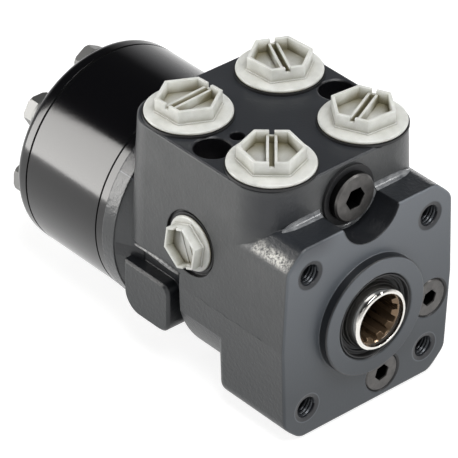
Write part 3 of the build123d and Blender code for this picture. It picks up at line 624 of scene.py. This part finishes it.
def moved(shape, matrix):
    """The shape, with its points taken through the matrix."""
    verts, faces = shape
    return [tuple(matrix @ Vector(v)) for v in verts], faces


def solid(name, shapes, matrix, material):
    """One object from (verts, faces) shapes in millimetres of a local frame."""
    build = bmesh.new()
    for verts, faces in shapes:
        points = [build.verts.new(matrix @ Vector(v) * MM) for v in verts]
        for face in faces:
            build.faces.new([points[k] for k in face])
    bmesh.ops.recalc_face_normals(build, faces=build.faces)
    mesh = bpy.data.meshes.new(name)
    build.to_mesh(mesh)
    build.free()
    mesh.materials.append(material)
    obj = bpy.data.objects.new(name, mesh)
    bpy.context.scene.collection.objects.link(obj)
    return obj


def apply_modifiers(obj):
    graph = bpy.context.evaluated_depsgraph_get()
    mesh = bpy.data.meshes.new_from_object(obj.evaluated_get(graph))
    obj.modifiers.clear()
    obj.data = mesh


def finish_mesh(obj, angle=34.0):
    """Applies the modifiers and shades smooth, with edges over angle degrees left sharp."""
    apply_modifiers(obj)
    obj.data.polygons.foreach_set("use_smooth", [True] * len(obj.data.polygons))
    obj.data.set_sharp_from_angle(angle=math.radians(angle))
    return obj


def cut_away(body, tool):
    """Takes tool out of body, and removes the tool."""
    step = body.modifiers.new("cut", "BOOLEAN")
    step.operation = "DIFFERENCE"
    step.solver = "EXACT"
    step.object = tool
    apply_modifiers(body)
    bpy.data.objects.remove(tool)


def rounded(obj, width):
    """Bevels every edge that turns by more than 30 degrees."""
    bevel = obj.modifiers.new("edge", "BEVEL")
    bevel.width = width * MM
    bevel.segments = 2
    bevel.limit_method = "ANGLE"
    bevel.angle_limit = math.radians(30)
    bevel.use_clamp_overlap = True
    return finish_mesh(obj)


# ---- transport plugs ----------------------------------------------------------------------------
def screw_plug(name, matrix, disc_r, disc_t, across_flats, head_h, wall, rib_h, shank_r, plastic):
    """Flanged plug with a hollow hexagon, its wall notched for a slot between two thin ribs."""
    top = disc_t + head_h
    head = solid(name, [prism(hexagon(across_flats), disc_t - 0.5, top)], matrix, plastic)
    pocket = prism(hexagon(across_flats - 2 * wall), disc_t - 2, top + 1)
    notches = prism(rectangle(across_flats * 1.2, SLOT_W), top - SLOT_DEPTH, top + 1)
    for shape in (pocket, notches):
        cut_away(head, solid("cut", [shape], matrix, plastic))
    disc = lathe([
        (0, -SHANK_LEN), (shank_r - 0.6, -SHANK_LEN), (shank_r, -SHANK_LEN + 0.8), (shank_r, 0),
        (disc_r - 0.3, 0), (disc_r, 0.3), (disc_r, disc_t - 0.95), (disc_r - 0.25, disc_t - 0.6),
        (disc_r - 0.9, disc_t - 0.35), (disc_r - 2.6, disc_t - 0.2), (disc_r - 3.2, disc_t), (0, disc_t),
    ])
    shapes = [disc, prism(hexagon(across_flats + PLINTH_MARGIN), disc_t - 0.4, disc_t + 0.5)]
    for side in (-1, 1):
        offset = side * (SLOT_W + RIB_W) / 2
        outline = [(x, y + offset) for x, y in rectangle(across_flats - wall, RIB_W)]
        shapes.append(prism(outline, disc_t - 0.5, disc_t + rib_h))
    body = solid("plug_body", shapes, matrix, plastic)
    joined = bmesh.new()
    joined.from_mesh(head.data)
    joined.from_mesh(body.data)
    joined.to_mesh(head.data)
    joined.free()
    bpy.data.objects.remove(body)
    return rounded(head, PLUG_EDGE)


def port_plug(name, plastic):
    x, y, turn = PORTS[name]
    foot = Matrix.Translation((x, y, PORT_FACE_Z + GASKET_T))
    stand = foot @ Matrix.Rotation(math.radians(turn), 4, "Z")
    piece = screw_plug(f"{name}_plug_moulding", stand, PLUG_DISC_R, PLUG_DISC_T, PLUG_HEX_AF,
                       PLUG_HEX_H, PLUG_WALL, PLUG_RIB_H, PLUG_SHANK_R, plastic)
    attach(piece, "housing")
    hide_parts(f"{name}_port_plug")


def side_plug(plastic):
    wall = placed((SIDE_FACE_X - SIDE_GASKET_T, PORT_MID_Y, SIDE_Z), (0, 0, -1), (-1, 0, 0))
    stand = wall @ Matrix.Rotation(math.radians(SIDE_TURN), 4, "Z")
    piece = screw_plug("side_plug_moulding", stand, SIDE_DISC_R, SIDE_DISC_T, SIDE_HEX_AF, SIDE_HEX_H,
                       SIDE_WALL, SIDE_RIB_H, SIDE_SHANK_R, plastic)
    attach(piece, "housing")
    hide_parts("side_port_plug")


# ---- details on the housing and the gear set ----------------------------------------------------
def flange_slope(paint):
    """Cast slope from the rear flange down to the waist in front of it."""
    length = 12.0
    overlap = 0.4               # with the flange behind it
    inner = 36.9
    profile = [(inner, 0), (37.6, 0), (38.2, 2.2), (39.4, 5.2), (41.0, 8.4), (42.2, 10.8),
               (42.7, length), (inner, length)]
    stand = rear_frame(WAIST_END + overlap - length)
    piece = finish_mesh(solid("flange_slope", [lathe(profile, BIG_STEPS)], stand, paint), 50)
    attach(piece, "housing")


def end_cover_casting(paint):
    """End cover with a rounded rim and a low seat under each washer."""
    face = COVER_T - SEAT_H
    profile = [(0, 0), (GEAR_R - 0.4, 0), (GEAR_R, 0.4)]
    steps = 10
    for k in range(steps + 1):
        a = math.pi / 2 * k / steps
        profile.append((GEAR_R - COVER_RIM_R + COVER_RIM_R * math.cos(a),
                        face - COVER_RIM_R + COVER_RIM_R * math.sin(a)))
    profile.append((0, face))
    shapes = [moved(lathe(profile, BIG_STEPS), rear_frame(RING_REAR))]
    foot_r = COVER_WASHER_R + SEAT_EDGE
    seat = lathe([(0, 0.5), (foot_r, 0.5), (foot_r, COVER_T - 0.5), (foot_r - 0.5, COVER_T),
                  (0, COVER_T)], SEAT_STEPS)
    for k in range(LOBES):
        a = math.radians(LOBE_START + 360 * k / LOBES)
        x = LOBE_CENTRE_R * math.cos(a)
        z = LOBE_CENTRE_R * math.sin(a)
        shapes.append(moved(seat, rear_frame(RING_REAR, x, z)))
    piece = finish_mesh(solid("cover_casting", shapes, Matrix.Identity(4), paint), 40)
    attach(piece, "housing")
    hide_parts("end_cover")


def seam_rings(material):
    """Dark joints between housing, distributor plate, gear ring and cover."""
    outer = GEAR_R + SEAM_PROUD
    inner = outer - SEAM_DEPTH
    ring = lathe([(inner, -SEAM_HALF), (outer, -SEAM_HALF), (outer, SEAM_HALF), (inner, SEAM_HALF)],
                 BIG_STEPS)
    joints = (HOUSING_LEN, HOUSING_LEN + PLATE_T, RING_REAR)
    shapes = [moved(ring, rear_frame(y)) for y in joints]
    piece = finish_mesh(solid("stack_seams", shapes, Matrix.Identity(4), material))
    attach(piece, "housing")


def shaft_nose(metal):
    """Slightly tapered outside of the shaft end, where it stands out of the dust seal."""
    inner = 11.3
    profile = [(inner, 6.6), (11.66, 7.0), (12.2, 6.5), (12.9, 3.8), (13.45, 1.2), (13.5, 0.3),
               (inner, 0.3)]
    piece = finish_mesh(solid("shaft_nose", [lathe(profile)], front_frame(0, 0), metal), 30)
    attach(piece, "spool")


def dust_seal(material):
    """Dust seal with a pressed rim, a groove and two lips that reach for the shaft."""
    profile = [
        (17.12, -0.4), (17.12, 3.3), (16.9, 3.6), (16.5, 3.6), (16.3, 3.2), (16.25, 1.6), (15.8, 1.3),
        (15.4, 1.6), (15.0, 1.5), (14.8, 0.4), (14.4, 0.2), (14.0, 0.5), (13.75, 0.45),
        (13.6, 0.2), (13.6, -0.1), (14.0, -0.4),
    ]
    piece = finish_mesh(solid("dust_seal_lips", [lathe(profile)], front_frame(0, 0), material), 50)
    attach(piece, "housing")
    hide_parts("dust_seal")


def mounting_threads(material):
    """Screw thread of the four mounting holes."""
    start = -0.9
    depth = 14.0
    crest = M10_R - 0.48
    root = M10_R - 0.02
    crest_half = 0.06
    root_half = 0.42 * M10_PITCH
    steps = 32
    turns = int(depth / M10_PITCH)
    sections = []
    for k in range(turns * steps + 1):
        a = 2 * math.pi * k / steps
        h = start - M10_PITCH * k / steps
        ridge = ((root, root_half), (crest, crest_half), (crest, -crest_half), (root, -root_half))
        sections.append([(r * math.cos(a), r * math.sin(a), h + dh) for r, dh in ridge])
    shapes = [moved(swept(sections), front_frame(x, z)) for x, z in HOLES]
    piece = finish_mesh(solid("mounting_threads", shapes, Matrix.Identity(4), material), 60)
    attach(piece, "housing")


def fillet_section(radius):
    """Corner at the origin between two walls along +u and +v, filled by a concave arc."""
    back = 0.25                 # how far it reaches into the walls
    steps = 6
    arc = []
    for k in range(steps + 1):
        a = math.pi / 2 * k / steps
        arc.append((radius - radius * math.sin(a), radius - radius * math.cos(a)))
    return [(radius, -back), *arc, (-back, radius), (-back, -back)]


def block_fillet(side):
    """Fillet where the port block rises from the flange, thinner towards the flange's corner."""
    radius = 2.2
    thinning = 0.8
    steps = 14
    foot_y = PORT_FRONT - (PORT_FACE_Z - FLANGE_HALF) * math.tan(DRAFT)
    start = math.sqrt(SCALLOP_R ** 2 - (RELIEF_Z - FLANGE_HALF) ** 2) - 0.2
    end = math.sqrt(FLANGE_CORNER_R ** 2 - FLANGE_HALF ** 2) - 1.0
    sections = []
    for k in range(steps + 1):
        t = k / steps
        x = side * (start + (end - start) * t)
        section = fillet_section(radius * (1 - thinning * t ** 5))
        sections.append([(x, foot_y - u, FLANGE_HALF + v) for u, v in section])
    return swept(sections)


def scallop_fillet():
    """Fillet round the foot of the scallop's wall."""
    steps = 40
    floor_y = PORT_FRONT - 0.6
    low = math.asin((FLANGE_HALF - RELIEF_Z) / SCALLOP_R)
    sections = []
    for k in range(steps + 1):
        a = -math.pi - low + (math.pi + 2 * low) * k / steps
        section = []
        for u, v in fillet_section(1.5):
            r = SCALLOP_R - v
            section.append((r * math.cos(a), floor_y - u, RELIEF_Z + r * math.sin(a)))
        sections.append(section)
    return swept(sections)


def wall_fillets(paint):
    """Cast fillets between the port block, the flange and the scallop."""
    shapes = [block_fillet(-1), block_fillet(1), scallop_fillet()]
    piece = finish_mesh(solid("cast_fillets", shapes, Matrix.Identity(4), paint), 40)
    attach(piece, "housing")


def parting_line(paint):
    """Low uneven ridge left on the left wall where the two halves of the mould met."""
    start = 12.0
    end = 50.0
    half = 0.28
    inside = -FLANGE_HALF + 0.3
    steps = 26
    sections = []
    for k in range(steps + 1):
        y = start + (end - start) * k / steps
        outside = -FLANGE_HALF - (0.10 + 0.08 * math.sin(2.3 * k) * math.sin(0.7 * k + 1))
        z = 0.25 * math.sin(0.9 * k)
        sections.append([(inside, y, z - half), (outside, y, z - half / 3),
                         (outside, y, z + half / 3), (inside, y, z + half)])
    piece = finish_mesh(solid("parting_line", [swept(sections)], Matrix.Identity(4), paint), 60)
    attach(piece, "housing")


def edge_flash(paint):
    """Worn bead of flash along the lower edge of the port block's left wall, its pale paint partly a
    painted highlight.
    """
    start = 57.5
    end = 83.0
    foot_z = 4.8
    radius = 1.3
    steps = 24
    round_steps = 12
    sections = []
    for k in range(steps + 1):
        t = k / steps
        y = start + (end - start) * t
        pinch = math.sin(math.pi * min(1, max(0.02, t * 1.02))) ** 0.3
        r = radius * (0.75 + 0.25 * math.sin(5 * t + 1)) * pinch
        z = foot_z + 0.6 * math.sin(math.pi * t)
        x = -FLANGE_HALF + z * math.tan(DRAFT) + 0.25
        angles = [2 * math.pi * n / round_steps for n in range(round_steps)]
        sections.append([(x + r * math.cos(a), y, z + r * math.sin(a)) for a in angles])
    piece = finish_mesh(solid("edge_flash", [swept(sections)], Matrix.Identity(4), paint), 60)
    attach(piece, "housing")


# ---- stage --------------------------------------------------------------------------------------
def floor():
    count = 64
    angles = [2 * math.pi * k / count for k in range(count)]
    disc = [(FLOOR_R * math.cos(a), FLOOR_R * math.sin(a), FLOOR_Z) for a in angles]
    piece = solid("floor", [(disc, [list(range(count))])], Matrix.Identity(4), floor_white())


def world():
    """Pale near the horizon and dark overhead, as in a studio with low screens."""
    sky = bpy.data.worlds.new("studio")
    bpy.context.scene.world = sky
    sky.use_nodes = True
    nodes = sky.node_tree.nodes
    links = sky.node_tree.links
    place = nodes.new("ShaderNodeTexCoord")
    split = nodes.new("ShaderNodeSeparateXYZ")
    ramp = nodes.new("ShaderNodeValToRGB")
    links.new(place.outputs["Generated"], split.inputs["Vector"])
    links.new(split.outputs["Z"], ramp.inputs["Fac"])
    stops = ramp.color_ramp.elements
    for k, (height, color) in enumerate(SKY):
        stop = stops[k] if k < 2 else stops.new(height)
        stop.position = height
        stop.color = (*color, 1)
    links.new(ramp.outputs["Color"], nodes["Background"].inputs["Color"])
    nodes["Background"].inputs["Strength"].default_value = 1.0


def softbox(name, azimuth, elevation, distance, width, height, radiance, tint):
    """Area lamp that faces the middle of the unit and that the camera doesn't see."""
    a = math.radians(azimuth)
    e = math.radians(elevation)
    away = Vector((math.cos(a) * math.cos(e), math.sin(a) * math.cos(e), math.sin(e)))
    lamp = bpy.data.lights.new(name, "AREA")
    lamp.shape = "RECTANGLE"
    lamp.size = width * MM
    lamp.size_y = height * MM
    lamp.energy = radiance * math.pi * lamp.size * lamp.size_y
    lamp.color = tint
    obj = bpy.data.objects.new(name, lamp)
    obj.location = (LIT_POINT + away * distance) * MM
    obj.rotation_euler = away.to_track_quat("Z", "Y").to_euler()
    obj.visible_camera = False
    bpy.context.scene.collection.objects.link(obj)


def camera():
    back = Vector((math.sin(AZIMUTH) * math.cos(ELEVATION), -math.cos(AZIMUTH) * math.cos(ELEVATION),
                   math.sin(ELEVATION)))
    level = Vector((math.cos(AZIMUTH), math.sin(AZIMUTH), 0))
    right = level * math.cos(ROLL) + back.cross(level) * math.sin(ROLL)
    up = back.cross(right)
    lens = bpy.data.cameras.new("camera")
    lens.sensor_fit = "HORIZONTAL"
    lens.angle = VIEW_ANGLE
    lens.clip_end = 20
    obj = bpy.data.objects.new("camera", lens)
    turn = Matrix((right, up, back)).transposed().to_4x4()
    obj.matrix_world = Matrix.Translation((TARGET + back * DISTANCE) * MM) @ turn
    bpy.context.scene.collection.objects.link(obj)
    bpy.context.scene.camera = obj


# ---- the unit -----------------------------------------------------------------------------------
def dress_nodes(frame, looks):
    """Gives every CAD node the finish of its slot, or its own."""
    # the relief washer's black rubber also stands in as painted shade round the relief plug's head
    own = {"spool": "shaft", "relief_washer": "black_rubber"}
    slots = {part["node"]: part["material_slot"] for part in frame["record"]["subparts"]}
    for name, node in frame["nodes"].items():
        look = looks[own.get(name, slots[name])]
        node.data.materials.clear()
        node.data.materials.append(look)


def main():
    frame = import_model()
    looks = {
        "housing_paint": housing_paint(),
        "worn_paint_and_highlight": worn_paint_and_highlight(),
        "fillet_highlight": fillet_highlight_paint(),
        "gear_paint": gear_paint(),
        "hardened_steel": steel("ground steel", (0.62, 0.61, 0.59), 0.2),
        "spring_steel": steel("spring steel", (0.4, 0.4, 0.4), 0.35),
        "plated_steel": steel("zinc plate", (0.24, 0.24, 0.235), 0.52, 0.3, 0.8, 0.02),
        "dark_steel": dark_steel(),
        "plug_plastic": plug_plastic(),
        "black_rubber": rubber(),
        "shaft": shaft_steel(),
    }
    dress_nodes(frame, looks)
    for name in PORTS:
        port_plug(name, looks["plug_plastic"])
    side_plug(looks["plug_plastic"])
    mounting_threads(machined_iron())
    wall_fillets(looks["fillet_highlight"])
    parting_line(looks["housing_paint"])
    edge_flash(looks["worn_paint_and_highlight"])
    seam_rings(seam_dark())
    flange_slope(looks["housing_paint"])
    end_cover_casting(looks["gear_paint"])
    shaft_nose(looks["shaft"])
    dust_seal(looks["black_rubber"])
    floor()
    world()
    for lamp in LAMPS:
        softbox(*lamp)
    camera()
    scene = bpy.context.scene
    scene.view_settings.view_transform = "Standard"


main()
